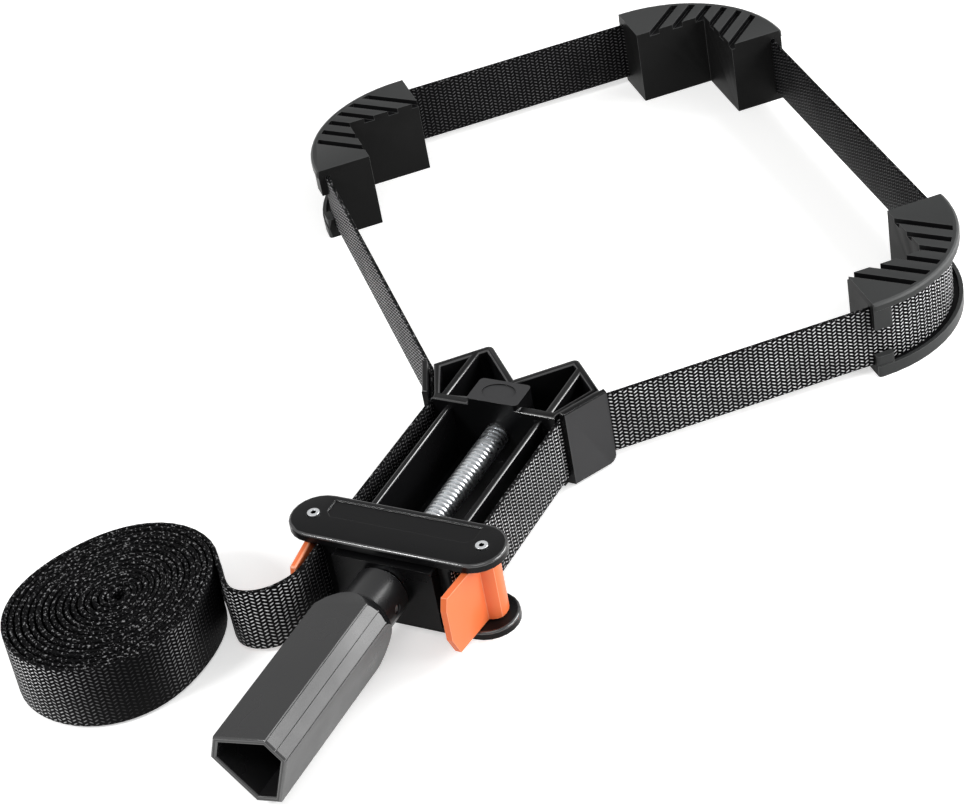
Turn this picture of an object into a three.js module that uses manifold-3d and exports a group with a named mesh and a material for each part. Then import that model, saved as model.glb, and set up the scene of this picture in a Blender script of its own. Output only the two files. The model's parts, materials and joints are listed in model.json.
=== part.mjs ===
import * as THREE from 'three'
import { mergeVertices } from 'three/addons/utils/BufferGeometryUtils.js'
import Module from 'manifold-3d'

// Band clamp: X runs along the screw from the handle to the V nose, Z is up, the table is z = 0.
// All lengths are millimetres.

// strap
const strapWidth = 25
const strapThickness = 1.3
const fitGap = 0.3
const splitGap = 0.3

// flat plates above and below the strap
const plateThickness = 3.2

// the rectangle that the strap runs round, from the corner at the nose
const loopLong = 246.9
const loopShort = 199.3
const loopCornerX = -25.5
const leftJawInset = 3.4

// nose
const notchApexX = 7.4
const notchLength = 24.4
const noseWall = 2.6
const noseHeight = 30
const noseRearX = -10
const crossWallThickness = 3.4
const ribOffset = 20.7
const ribThickness = 2.6
const bossHalfWidth = 10
const bossLength = 12.5
const bossHeight = 32.4
const bossBoreEnd = 0.4
const flankBendY = 33.9
const sideStrapY = 25.1
const innerBendRadius = 4
const outerBendRadius = 6
const coverThickness = 2.2
const coverHeight = 32
const coverLift = 1.2
const strapPastBend = 4
const bendSteps = 4

// channel that the carriage runs along
const railInner = 16.4
const railThickness = 2.5
const railDrop = 1.2
const channelFloorThickness = 2.5
const channelRearX = -95.2
const rearWallThickness = 4
const slideGap = 0.3

// lead screw
const screwRise = 14.5
const threadRadius = 4.5
const threadRootRadius = 3.6
const threadPitch = 2
const threadSides = 16
const threadRearX = -89
const screwTipX = 0
const journalRadius = 3.6
const journalRearX = -121

// retaining ring and thrust washer on the journal
const ringRadius = 6.4
const ringThickness = 1.4
const washerRadius = 7.6
const washerThickness = 1.8

// handle
const handleRearX = -184.4
const handleFrontX = -111.2
const handleFaceRadius = 11.4
const handleCornerRadius = 14.6
const handleTurn = 12
const handleWall = 2.2
const handleBoreEndX = -127.5
const domeRadius = 16.4
const domeLength = 13
const domeSides = 40
const domeShares = [[0, 1], [0.46, 0.93], [0.7, 0.83], [0.87, 0.73], [1, 0.63]]
const hubRadius = 9.8
const crossPinRadius = 1.5
const crossPinX = -104.5
const crossPinLength = 18

// carriage
const carriageCentreX = -82
const carriageLength = 22
const carriageHalfWidth = 40.4
const cheekLength = 18.4
const blockFrontX = -73
const blockRearX = -86.8
const panelDepth = 0.5
const panelInset = 2.4
const panelHalfWidth = 25.6
const nutSize = 13
const nutLength = 8
const nutCentreX = -80.3

// levers and their rivets
const pinOffset = 32
const pinRadius = 1.6
const pinHeadRadius = 2.2
const pinHeadThickness = 0.9
const pinHeadSink = 0.6
const pinEyeRadius = 0.9
const pinEyeDepth = 2
const camRadius = 5.4
const leverBulge = 4.4
const paddleLength = 25
const paddleThickness = 2.3
const creaseReach = 4.2
const paddleDrop = 1.8
const paddleTopCut = 4.5
const paddleCutLength = 1.5
const paddleLowCut = 3.2
const paddleLowRise = 7.5
const leftLeverTilt = 3

// corner jaws
const jawArcRadius = 46.9
const jawDepth = 18.4
const jawFlangeLip = 0.55
const jawWing = 2
const jawRimWidth = 1.5
const jawRimHeight = 1.4
const grooveCount = 6
const groovePitch = 7.4
const grooveShift = -2.6
const grooveWidth = 3
const grooveDepth = 2.2
const grooveEndInset = 2.4
const lugWidth = 7
const lugHighHeight = 8.4
const lugLowHeight = 5.3
const lugThickness = 2.8
const jawArcSteps = 16

// tail and roll of spare strap
const rollX = -133.4
const rollY = 84.2
const rollRadius = 36.1
const rollOval = 0.0945
const rollEgg = 0.0254
const rollOvalAngle = -13.3
const rollPitch = 2.15
const rollLoops = 15.7
const rollDriftX = 1.4
const rollDriftY = -2.3
const rollStepsPerLoop = 24
const rollStartAngle = -40
const tailRoute = [
  [-93.6, 25.1],
  [-99, 24.9],
  [-104.5, 25],
  [-108.5, 26.1],
  [-112.5, 28.3],
  [-116.3, 31.8],
  [-118.9, 36.5],
  [-119.5, 41.5],
  [-118.3, 46],
  [-115, 50],
  [-110, 54.3],
]

// one overrun serves all cuts
const over = 1

const strapLow = plateThickness + fitGap
const strapHigh = strapLow + strapWidth
const topPlateLow = strapHigh + fitGap
const railTop = topPlateLow - railDrop
const overallHeight = topPlateLow + plateThickness
const axisHeight = strapLow + screwRise
const leverHeight = strapWidth - fitGap * 2
const halfStrap = strapThickness / 2
const strapReach = halfStrap + fitGap
const root = Math.SQRT1_2
const u = new THREE.Vector2(root, root)
const v = new THREE.Vector2(root, -root)
const blackPlastic = 0x1d1d1f
const jawPlastic = 0x26282a
const webbing = 0x121214
const orange = 0xf4692c
const zinc = 0xb9bcbf

const wasm = await Module()
wasm.setup()

const group = new THREE.Group()
group.name = 'band_clamp'

function flat(x, y) {
  return new THREE.Vector2(x, y)
}

function radians(degrees) {
  return THREE.MathUtils.degToRad(degrees)
}

function solidOf(geometry) {
  const bare = geometry.index ? geometry.toNonIndexed() : geometry.clone()
  bare.deleteAttribute('normal')
  bare.deleteAttribute('uv')
  const merged = mergeVertices(bare, 1e-4)
  return new wasm.Manifold(new wasm.Mesh({
    numProp: 3,
    vertProperties: new Float32Array(merged.attributes.position.array),
    triVerts: new Uint32Array(merged.index.array),
  }))
}

function addPiece(name, colour, solid) {
  const mesh = solid.getMesh()
  const stride = mesh.numProp
  const count = mesh.vertProperties.length / stride
  const positions = new Float32Array(count * 3)
  for (let i = 0; i < count; i += 1) {
    positions[3 * i] = mesh.vertProperties[stride * i]
    positions[3 * i + 1] = mesh.vertProperties[stride * i + 1]
    positions[3 * i + 2] = mesh.vertProperties[stride * i + 2]
  }
  const geometry = new THREE.BufferGeometry()
  geometry.setAttribute('position', new THREE.BufferAttribute(positions, 3))
  geometry.setIndex(new THREE.BufferAttribute(new Uint32Array(mesh.triVerts), 1))
  geometry.computeVertexNormals()
  const material = new THREE.MeshStandardMaterial({ color: colour, roughness: 0.5 })
  const piece = new THREE.Mesh(geometry, material)
  piece.name = name
  group.add(piece)
}

function prism(outline, low, high) {
  const geometry = new THREE.ExtrudeGeometry(new THREE.Shape(outline), {
    depth: high - low,
    bevelEnabled: false,
  })
  geometry.translate(0, 0, low)
  return solidOf(geometry)
}

function block(x0, x1, y0, y1, z0, z1) {
  const geometry = new THREE.BoxGeometry(x1 - x0, y1 - y0, z1 - z0)
  geometry.translate((x0 + x1) / 2, (y0 + y1) / 2, (z0 + z1) / 2)
  return solidOf(geometry)
}

function rodAlongX(radius, x0, x1, sides = 24) {
  const geometry = new THREE.CylinderGeometry(radius, radius, x1 - x0, sides)
  geometry.rotateZ(Math.PI / 2)
  geometry.translate((x0 + x1) / 2, 0, axisHeight)
  return solidOf(geometry)
}

function rodAlongZ(radius, x, y, z0, z1, sides = 20) {
  const geometry = new THREE.CylinderGeometry(radius, radius, z1 - z0, sides)
  geometry.rotateX(Math.PI / 2)
  geometry.translate(x, y, (z0 + z1) / 2)
  return solidOf(geometry)
}

// a closed skin through rings of the same number of points, with flat ends
function loft(rings) {
  const size = rings[0].length
  const positions = []
  const triangles = []
  for (const ring of rings) {
    for (const point of ring) positions.push(point.x, point.y, point.z)
  }
  for (let i = 0; i + 1 < rings.length; i += 1) {
    for (let j = 0; j < size; j += 1) {
      const a = i * size + j
      const b = i * size + ((j + 1) % size)
      triangles.push(a, b, a + size, b, b + size, a + size)
    }
  }
  const last = (rings.length - 1) * size
  for (let j = 1; j + 1 < size; j += 1) {
    triangles.push(0, j + 1, j)
    triangles.push(last, last + j, last + j + 1)
  }
  const geometry = new THREE.BufferGeometry()
  geometry.setAttribute('position', new THREE.Float32BufferAttribute(positions, 3))
  geometry.setIndex(triangles)
  return solidOf(geometry)
}

// the two unit headings at each point of an open route give a mitred sideways step
function sideSteps(route) {
  return route.map((point, i) => {
    const before = route[Math.max(i - 1, 0)]
    const after = route[Math.min(i + 1, route.length - 1)]
    const arrive = (i > 0 ? point.clone().sub(before) : after.clone().sub(point)).normalize()
    const leave = (i + 1 < route.length ? after.clone().sub(point) : arrive.clone()).normalize()
    const side = flat(-arrive.y - leave.y, arrive.x + leave.x).normalize()
    return side.divideScalar(side.dot(flat(-arrive.y, arrive.x)))
  })
}

function shifted(route, distance) {
  const steps = sideSteps(route)
  return route.map((point, i) => point.clone().addScaledVector(steps[i], distance))
}

// strap on edge along a plan route, its lower edge at the given heights
function strapBand(route, lows) {
  const left = shifted(route, halfStrap)
  const right = shifted(route, -halfStrap)
  const rings = route.map((point, i) => {
    const low = Array.isArray(lows) ? lows[i] : lows
    return [
      new THREE.Vector3(left[i].x, left[i].y, low),
      new THREE.Vector3(right[i].x, right[i].y, low),
      new THREE.Vector3(right[i].x, right[i].y, low + strapWidth),
      new THREE.Vector3(left[i].x, left[i].y, low + strapWidth),
    ]
  })
  return loft(rings.reverse())
}

// a route with each inner corner rounded to its radius
function rounded(points, radii) {
  const route = [points[0].clone()]
  for (let i = 1; i + 1 < points.length; i += 1) {
    const arrive = points[i].clone().sub(points[i - 1]).normalize()
    const leave = points[i + 1].clone().sub(points[i]).normalize()
    const turn = Math.atan2(arrive.cross(leave), arrive.dot(leave))
    const reach = radii[i] * Math.abs(Math.tan(turn / 2))
    const start = points[i].clone().addScaledVector(arrive, -reach)
    const side = flat(-arrive.y, arrive.x).multiplyScalar(Math.sign(turn))
    const centre = start.clone().addScaledVector(side, radii[i])
    for (let k = 0; k <= bendSteps; k += 1) {
      const spoke = start.clone().sub(centre)
      const swing = turn * k / bendSteps
      spoke.rotateAround(flat(0, 0), swing)
      route.push(centre.clone().add(spoke))
    }
  }
  route.push(points[points.length - 1].clone())
  return route
}

// the outline moved inwards by a distance, for a closed anticlockwise outline
function inset(outline, distance) {
  const count = outline.length
  return outline.map((point, i) => {
    const arrive = point.clone().sub(outline[(i + count - 1) % count]).normalize()
    const leave = outline[(i + 1) % count].clone().sub(point).normalize()
    const side = flat(-arrive.y - leave.y, arrive.x + leave.x).normalize()
    const reach = distance / side.dot(flat(-arrive.y, arrive.x))
    return point.clone().addScaledVector(side, reach)
  })
}

function mirrored(points) {
  return points.map((point) => flat(point.x, -point.y)).reverse()
}

function mirrorSolid(solid) {
  return solid.mirror([0, 1, 0])
}

// plan corners of the strap loop
const cornerNose = flat(loopCornerX, 0)
const cornerLeft = cornerNose.clone().addScaledVector(u, loopLong).addScaledVector(v, leftJawInset)
const cornerRight = cornerNose.clone().addScaledVector(v, loopShort)
const cornerFar = cornerNose.clone().addScaledVector(u, loopLong).addScaledVector(v, loopShort)

// strap round the right flank of the nose, from the side of the channel to the front run
const flankStart = flat(loopCornerX + flankBendY, -flankBendY)
const flankRun = flankStart.x - noseRearX - crossWallThickness / 2
const sideBend = flat(flankStart.x - flankRun, -sideStrapY)
const sideEndX = noseRearX - crossWallThickness
const noseRoute = rounded([
  flat(sideEndX, -sideStrapY),
  sideBend,
  flankStart,
  flankStart.clone().addScaledVector(v, strapPastBend + outerBendRadius),
], [0, innerBendRadius, outerBendRadius, 0])
noseRoute[noseRoute.length - 1] = flankStart.clone().addScaledVector(v, strapPastBend)

// nose body inside the strap, right half, walked from the rear wall round to the notch apex
const notchPeak = flat(notchApexX, 0).addScaledVector(v, notchLength)
const innerSide = shifted(noseRoute, strapReach).slice(1, bendSteps + 2)
const flankEntry = innerSide[innerSide.length - 1]
const flankHeading = flankStart.clone().sub(sideBend).normalize()
const armReach = notchPeak.clone().sub(flankEntry).dot(v) / flankHeading.dot(v)
const armCorner = flankEntry.clone().addScaledVector(flankHeading, armReach)
const sideInnerY = sideStrapY - strapReach
const rightHalf = [flat(noseRearX, -sideInnerY), ...innerSide, armCorner, notchPeak]
const noseOutline = [...rightHalf, flat(notchApexX, 0), ...mirrored(rightHalf)]
const pocketRearX = noseRearX + crossWallThickness - noseWall
const pocketHalfOutline = [flat(pocketRearX, -sideInnerY), armCorner, notchPeak]
const pocketOutline = inset([
  ...pocketHalfOutline, flat(notchApexX, 0), ...mirrored(pocketHalfOutline),
], noseWall)

// outer guide that holds the strap against the flank
const guideRoute = noseRoute.slice(1, -1)
const guideInner = shifted(guideRoute, -strapReach)
const guideOuter = shifted(guideRoute, -strapReach - coverThickness)
const guideOutline = [...guideOuter, ...guideInner.slice().reverse()]
const guideFoot = [...guideOuter, ...shifted(guideRoute, strapReach).slice().reverse()]

function noseGuide() {
  const foot = prism(guideFoot, coverLift, plateThickness)
  return prism(guideOutline, coverLift, coverHeight).add(foot)
}

const boreRadius = threadRadius + fitGap
let frame = prism(noseOutline, 0, noseHeight)
frame = frame.subtract(prism(pocketOutline, plateThickness, noseHeight + over))
const noseFill = prism(noseOutline, 0, noseHeight)
const ribFrontX = notchPeak.x
for (const side of [-1, 1]) {
  const ribY = side * ribOffset
  const rib = block(
    noseRearX, ribFrontX, ribY - ribThickness / 2, ribY + ribThickness / 2, 0, noseHeight,
  )
  frame = frame.add(rib.intersect(noseFill))
}
const bossFrontX = noseRearX + bossLength
frame = frame.add(block(noseRearX, bossFrontX, -bossHalfWidth, bossHalfWidth, 0, bossHeight))
frame = frame.add(noseGuide())
frame = frame.add(mirrorSolid(noseGuide()))
const railOuter = railInner + railThickness
const joinX = noseRearX + crossWallThickness / 2
const channelFloorTop = strapLow + channelFloorThickness
frame = frame.add(block(channelRearX, joinX, -railOuter, railOuter, strapLow, railTop))
frame = frame.subtract(block(
  channelRearX + rearWallThickness, noseRearX, -railInner, railInner, channelFloorTop, railTop + over,
))
frame = frame.subtract(rodAlongX(boreRadius, noseRearX - over, bossBoreEnd))
frame = frame.subtract(rodAlongX(journalRadius + fitGap, channelRearX - over, noseRearX))
addPiece('frame', blackPlastic, frame)

// lead screw: a thread that winds on through a grid sheared by one pitch a turn
function threadedRod() {
  const low = threadRearX - threadPitch * 2
  const turns = Math.ceil((screwTipX - low) / threadPitch) + 2
  const stations = [0, 0.3, 0.5, 0.8]
  const radii = [threadRootRadius, threadRootRadius, threadRadius, threadRadius]
  const rows = turns * stations.length
  const positions = []
  for (let i = 0; i <= rows + stations.length; i += 1) {
    const lead = Math.floor(i / stations.length) + stations[i % stations.length]
    const radius = radii[i % stations.length]
    for (let j = 0; j < threadSides; j += 1) {
      const angle = 2 * Math.PI * j / threadSides
      const x = low + threadPitch * (lead + j / threadSides)
      positions.push(x, radius * Math.cos(angle), axisHeight + radius * Math.sin(angle))
    }
  }
  const at = (i, j) => (j < threadSides ? i * threadSides + j : (i + stations.length) * threadSides)
  const triangles = []
  for (let i = 0; i < rows; i += 1) {
    for (let j = 0; j < threadSides; j += 1) {
      const a = at(i, j)
      const b = at(i, j + 1)
      const c = at(i + 1, j)
      const d = at(i + 1, j + 1)
      triangles.push(a, b, c, b, d, c)
    }
  }
  const lowCentre = positions.length / 3
  positions.push(low - threadPitch, 0, axisHeight)
  const highCentre = lowCentre + 1
  positions.push(low + threadPitch * (turns + 2), 0, axisHeight)
  for (const [row, centre, flip] of [[0, lowCentre, false], [rows, highCentre, true]]) {
    const loop = []
    for (let j = 0; j <= threadSides; j += 1) loop.push(at(row, j))
    for (let k = stations.length - 1; k > 0; k -= 1) loop.push(at(row + k, 0))
    for (let k = 0; k < loop.length; k += 1) {
      const next = loop[(k + 1) % loop.length]
      if (flip) triangles.push(loop[k], next, centre)
      else triangles.push(loop[k], centre, next)
    }
  }
  const geometry = new THREE.BufferGeometry()
  geometry.setAttribute('position', new THREE.Float32BufferAttribute(positions, 3))
  geometry.setIndex(triangles)
  return solidOf(geometry)
}

function crossPinRod(radius, length) {
  const geometry = new THREE.CylinderGeometry(radius, radius, length, 12)
  geometry.translate(crossPinX, 0, axisHeight)
  return solidOf(geometry)
}

const screwTrim = rodAlongX(threadRadius + over, threadRearX, screwTipX)
let screw = threadedRod().intersect(screwTrim)
screw = screw.add(rodAlongX(journalRadius, journalRearX, threadRearX + over, 16))
screw = screw.subtract(crossPinRod(crossPinRadius + fitGap, journalRadius * 2 + over))
addPiece('lead_screw', zinc, screw)

const rearWallFrontX = channelRearX + rearWallThickness
const ring = rodAlongX(ringRadius, rearWallFrontX + fitGap, rearWallFrontX + fitGap + ringThickness)
const journalBore = rodAlongX(journalRadius + fitGap / 2, journalRearX - over, threadRearX, 16)
addPiece('retaining_ring', zinc, ring.subtract(journalBore))

const washerRearX = channelRearX - fitGap - washerThickness
const washer = rodAlongX(washerRadius, washerRearX, channelRearX - fitGap)
addPiece('thrust_washer', zinc, washer.subtract(journalBore))

// handle: a three-sided tube with cut corners, its front turned down to a dome
function handleSection(faceRadius, cornerRadius) {
  const section = []
  for (let k = 0; k < 3; k += 1) {
    const face = radians(90 - handleTurn + 120 * k)
    for (const side of [-1, 1]) {
      const along = (cornerRadius - faceRadius * Math.cos(Math.PI / 3)) / Math.sin(Math.PI / 3)
      section.push(flat(
        faceRadius * Math.cos(face) + along * Math.cos(face + side * Math.PI / 2),
        faceRadius * Math.sin(face) + along * Math.sin(face + side * Math.PI / 2),
      ))
    }
  }
  return section
}

function sectionRing(section, x) {
  return section.map((point) => new THREE.Vector3(x, point.x, axisHeight + point.y))
}

function roundRing(radius, x) {
  const ring = []
  for (let k = 0; k < domeSides; k += 1) {
    const angle = 2 * Math.PI * k / domeSides
    ring.push(flat(radius * Math.cos(angle), radius * Math.sin(angle)))
  }
  return sectionRing(ring, x)
}

const handleOuter = handleSection(handleFaceRadius, handleCornerRadius)
const handleInner = handleSection(handleFaceRadius - handleWall, handleCornerRadius - handleWall)
const hubRearX = handleFrontX - over
const domeRearX = handleFrontX - domeLength
const dome = loft([
  roundRing(domeRadius, handleRearX - over),
  ...domeShares.map(([along, wide]) => roundRing(domeRadius * wide, domeRearX + domeLength * along)),
])
let handle = loft([
  sectionRing(handleOuter, handleRearX),
  sectionRing(handleOuter, handleFrontX + over),
]).intersect(dome)
handle = handle.add(rodAlongX(hubRadius, hubRearX, washerRearX - fitGap))
handle = handle.subtract(loft([
  sectionRing(handleInner, handleRearX - over),
  sectionRing(handleInner, handleBoreEndX),
]))
handle = handle.subtract(rodAlongX(journalRadius + fitGap, journalRearX - fitGap, washerRearX, 16))
handle = handle.subtract(crossPinRod(crossPinRadius + fitGap, hubRadius * 2 + over))
addPiece('handle', 0x3b3b3d, handle)
addPiece('handle_cross_pin', zinc, crossPinRod(crossPinRadius, crossPinLength))

// carriage: a plate above and a plate below, held by two rivets
const endRadius = carriageLength / 2
const endCentreY = carriageHalfWidth - endRadius
function plateOutline(radius, steps = 12) {
  const outline = []
  for (let k = 0; k <= steps; k += 1) {
    const angle = Math.PI * k / steps
    outline.push(flat(carriageCentreX + radius * Math.cos(angle), endCentreY + radius * Math.sin(angle)))
  }
  for (let k = 0; k <= steps; k += 1) {
    const angle = Math.PI + Math.PI * k / steps
    outline.push(flat(carriageCentreX + radius * Math.cos(angle), radius * Math.sin(angle) - endCentreY))
  }
  return outline
}

const cheekInner = railOuter + slideGap
const cheekOuter = sideStrapY - strapReach
const cheekRearX = carriageCentreX - cheekLength / 2
const cheekFrontX = carriageCentreX + cheekLength / 2
const blockHalf = railInner - slideGap
const blockLow = channelFloorTop + slideGap
let carriage = prism(plateOutline(endRadius), topPlateLow, overallHeight)
const panelFloor = overallHeight - panelDepth
const panelFrontX = carriageCentreX + endRadius - panelInset
const panelWide = panelHalfWidth + panelInset
carriage = carriage.subtract(prism([
  flat(carriageCentreX, panelHalfWidth), flat(carriageCentreX, -panelHalfWidth),
  flat(carriageCentreX + panelInset, -panelWide), flat(panelFrontX, -panelWide),
  flat(panelFrontX, panelWide), flat(carriageCentreX + panelInset, panelWide),
], panelFloor, overallHeight + over))
carriage = carriage.add(block(
  blockRearX, blockFrontX, -blockHalf, blockHalf, blockLow, topPlateLow + fitGap,
))
for (const side of [-1, 1]) {
  const near = side < 0 ? -cheekOuter : cheekInner
  const cheek = block(
    cheekRearX, cheekFrontX, near, near + cheekOuter - cheekInner, strapLow, topPlateLow + fitGap,
  )
  const pinY = side * pinOffset
  carriage = carriage.add(cheek)
  carriage = carriage.subtract(rodAlongZ(
    pinRadius + fitGap, carriageCentreX, pinY, topPlateLow - over, overallHeight + over,
  ))
  carriage = carriage.subtract(rodAlongZ(
    pinHeadRadius + fitGap, carriageCentreX, pinY, overallHeight - pinHeadSink, overallHeight + over,
  ))
}
carriage = carriage.subtract(rodAlongX(boreRadius, blockRearX - over, blockFrontX + over))
const nutHalf = nutSize / 2
const pocketHalf = nutHalf + fitGap
carriage = carriage.subtract(block(
  nutCentreX - nutLength / 2 - fitGap, nutCentreX + nutLength / 2 + fitGap,
  -pocketHalf, pocketHalf, blockLow - over, axisHeight + pocketHalf,
))
addPiece('carriage_body', blackPlastic, carriage)

let nut = block(
  nutCentreX - nutLength / 2, nutCentreX + nutLength / 2,
  -nutHalf, nutHalf, axisHeight - nutHalf, axisHeight + nutHalf,
)
nut = nut.subtract(rodAlongX(boreRadius, nutCentreX - nutLength, nutCentreX + nutLength))
addPiece('nut', zinc, nut)

let bottomPlate = prism(plateOutline(endRadius), 0, plateThickness)
const lowSink = pinHeadSink + pinHeadThickness
for (const side of [-1, 1]) {
  const pinY = side * pinOffset
  bottomPlate = bottomPlate.subtract(rodAlongZ(
    pinRadius + fitGap, carriageCentreX, pinY, -over, plateThickness + over,
  ))
  bottomPlate = bottomPlate.subtract(rodAlongZ(
    pinHeadRadius + fitGap, carriageCentreX, pinY, -over, lowSink,
  ))
}
addPiece('carriage_bottom_plate', blackPlastic, bottomPlate)

// a lever seen from above: a runs to the rear from the pin, b away from the strap
const bulgeShares = [
  [-1.11, 0.55], [-0.9, 0.82], [-0.5, 0.97], [0, 1], [0.43, 0.9], [0.73, 0.62], [0.9, 0.28],
]
function leverOutline() {
  const outline = []
  const steps = 10
  const sweepStart = radians(-20)
  const sweep = radians(-180) - sweepStart
  for (let k = 0; k <= steps; k += 1) {
    const angle = sweepStart + sweep * k / steps
    outline.push(flat(camRadius * Math.cos(angle), camRadius * Math.sin(angle)))
  }
  for (const [a, b] of bulgeShares) outline.push(flat(a * leverBulge, b * leverBulge))
  outline.push(flat(creaseReach, 0))
  return outline
}

function leverSolid(side) {
  const low = strapLow + fitGap
  const high = low + leverHeight
  const place = (point) => flat(carriageCentreX - point.x, side * (pinOffset + point.y))
  const hub = leverOutline().map(place)
  const paddle = [
    flat(0, -paddleThickness), flat(paddleLength, -paddleDrop - paddleThickness),
    flat(paddleLength, -paddleDrop), flat(creaseReach, 0), flat(0, 0),
  ].map(place)
  const wind = (outline) => (THREE.ShapeUtils.area(outline) < 0 ? outline.slice().reverse() : outline)
  let lever = prism(wind(hub), low, high).add(prism(wind(paddle), low, high))
  const tipX = carriageCentreX - paddleLength
  const profile = new THREE.Shape([
    flat(tipX - over, high - paddleTopCut), flat(tipX, high - paddleTopCut),
    flat(tipX + paddleCutLength, high), flat(tipX + paddleCutLength, high + over),
    flat(tipX - over, high + over),
  ].reverse())
  const lowProfile = new THREE.Shape([
    flat(tipX - over, low - over), flat(tipX + paddleLowCut, low - over),
    flat(tipX + paddleLowCut, low), flat(tipX, low + paddleLowRise),
    flat(tipX - over, low + paddleLowRise),
  ])
  for (const shape of [profile, lowProfile]) {
    const cut = new THREE.ExtrudeGeometry(shape, { depth: pinOffset * 4, bevelEnabled: false })
    cut.rotateX(Math.PI / 2)
    cut.translate(0, pinOffset * 2, 0)
    lever = lever.subtract(solidOf(cut))
  }
  lever = lever.subtract(rodAlongZ(
    pinRadius + fitGap, carriageCentreX, side * pinOffset, low - over, high + over,
  ))
  const tilt = side > 0 ? leftLeverTilt : 0
  const pinPlace = [carriageCentreX, side * pinOffset, 0]
  return lever.translate(pinPlace.map((each) => -each)).rotate([0, 0, tilt]).translate(pinPlace)
}

function rivetSolid(side) {
  const pinY = side * pinOffset
  const highHead = overallHeight - pinHeadSink + fitGap
  const lowHead = lowSink - fitGap
  let rivet = rodAlongZ(pinRadius, carriageCentreX, pinY, lowHead - pinHeadThickness, highHead)
  rivet = rivet.add(rodAlongZ(
    pinHeadRadius, carriageCentreX, pinY, highHead, highHead + pinHeadThickness,
  ))
  rivet = rivet.add(rodAlongZ(
    pinHeadRadius, carriageCentreX, pinY, lowHead - pinHeadThickness, lowHead,
  ))
  return rivet.subtract(rodAlongZ(
    pinEyeRadius, carriageCentreX, pinY, highHead + pinHeadThickness - pinEyeDepth, overallHeight + over, 10,
  ))
}

for (const [name, side] of [['left', 1], ['right', -1]]) {
  addPiece(`lever_${name}`, orange, leverSolid(side))
  addPiece(`lever_rivet_${name}`, zinc, rivetSolid(side))
}

// corner jaw with its diagonal along +X, its arc centre at the origin and straight wings past the arc
const seatRadius = jawArcRadius - strapReach
const lugInner = jawArcRadius + strapReach
const jawFlangeRadius = lugInner + lugThickness + jawFlangeLip
const grooveEndRadius = jawFlangeRadius - grooveEndInset
const overallReach = jawFlangeRadius * 2
function sector(radius, low, high) {
  const reach = radius / Math.cos(radians(45 / jawArcSteps))
  const step = (jawWing + over) * root
  const outline = [flat(-2 * step, 0), flat(reach * root - step, -reach * root - step)]
  for (let k = 0; k <= jawArcSteps; k += 1) {
    const angle = radians(-45 + 90 * k / jawArcSteps)
    outline.push(flat(reach * Math.cos(angle), reach * Math.sin(angle)))
  }
  outline.push(flat(reach * root - step, reach * root + step))
  return prism(outline, low, high)
}

function cornerJaw() {
  const flangeHigh = overallHeight
  let jaw = sector(seatRadius, 0, flangeHigh)
  jaw = jaw.add(sector(jawFlangeRadius, 0, plateThickness))
  jaw = jaw.add(sector(jawFlangeRadius, topPlateLow, flangeHigh))
  const rimTop = plateThickness + jawRimHeight
  const rim = sector(jawFlangeRadius, plateThickness - fitGap, rimTop)
  jaw = jaw.add(rim.subtract(sector(jawFlangeRadius - jawRimWidth, 0, overallHeight)))
  for (const side of [-1, 1]) {
    for (const [z0, z1] of [
      [plateThickness - fitGap, plateThickness + lugLowHeight],
      [topPlateLow - lugHighHeight, topPlateLow + fitGap],
    ]) {
      const lug = block(
        -jawWing - over, lugWidth - jawWing, lugInner, lugInner + lugThickness, z0, z1,
      )
      jaw = jaw.add(side > 0
        ? lug.rotate([0, 0, -45])
        : mirrorSolid(lug.rotate([0, 0, -45])))
    }
  }
  const endX = -jawWing / root
  const ends = [flat(endX, 0), flat(endX + overallReach, -overallReach), flat(endX + overallReach, overallReach)]
  jaw = jaw.intersect(prism(ends, -over, overallHeight + over))
  const cornerX = (jawArcRadius - jawDepth) / root
  const work = [flat(cornerX, 0), flat(cornerX - jawFlangeRadius, jawFlangeRadius),
    flat(cornerX - jawFlangeRadius, -jawFlangeRadius)]
  jaw = jaw.subtract(prism(work, -over, overallHeight + over))
  const grooveDisc = sector(grooveEndRadius, overallHeight - grooveDepth, overallHeight + over)
  for (let k = 0; k < grooveCount; k += 1) {
    const y = grooveShift + groovePitch * (k - (grooveCount - 1) / 2)
    const groove = block(
      0, jawFlangeRadius, y - grooveWidth / 2, y + grooveWidth / 2,
      overallHeight - grooveDepth, overallHeight + over,
    )
    jaw = jaw.subtract(groove.intersect(grooveDisc))
  }
  return jaw
}

function jawStrap() {
  const route = []
  const trim = splitGap / 2 / jawArcRadius
  const span = Math.PI / 2 - 2 * trim
  for (let k = 0; k <= jawArcSteps; k += 1) {
    const angle = span * k / jawArcSteps - span / 2
    route.push(flat(jawArcRadius * Math.cos(angle), jawArcRadius * Math.sin(angle)))
  }
  return strapBand(route, strapLow)
}

const arcInset = jawArcRadius / root
for (const [name, corner, turn] of [
  ['left', cornerLeft, 90], ['far', cornerFar, 0], ['right', cornerRight, -90],
]) {
  const inward = flat(arcInset, 0).rotateAround(flat(0, 0), radians(turn + 180))
  const centre = corner.clone().add(inward)
  addPiece(`jaw_${name}`, jawPlastic, cornerJaw().rotate([0, 0, turn]).translate([centre.x, centre.y, 0]))
  addPiece(
    `strap_arc_${name}`, webbing,
    jawStrap().rotate([0, 0, turn]).translate([centre.x, centre.y, 0]),
  )
}

// strap between the jaws, in straight runs
function straightRun(from, to) {
  const way = to.clone().sub(from).normalize().multiplyScalar(splitGap)
  return strapBand([from.clone().add(way), to.clone().sub(way)], strapLow)
}

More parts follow.
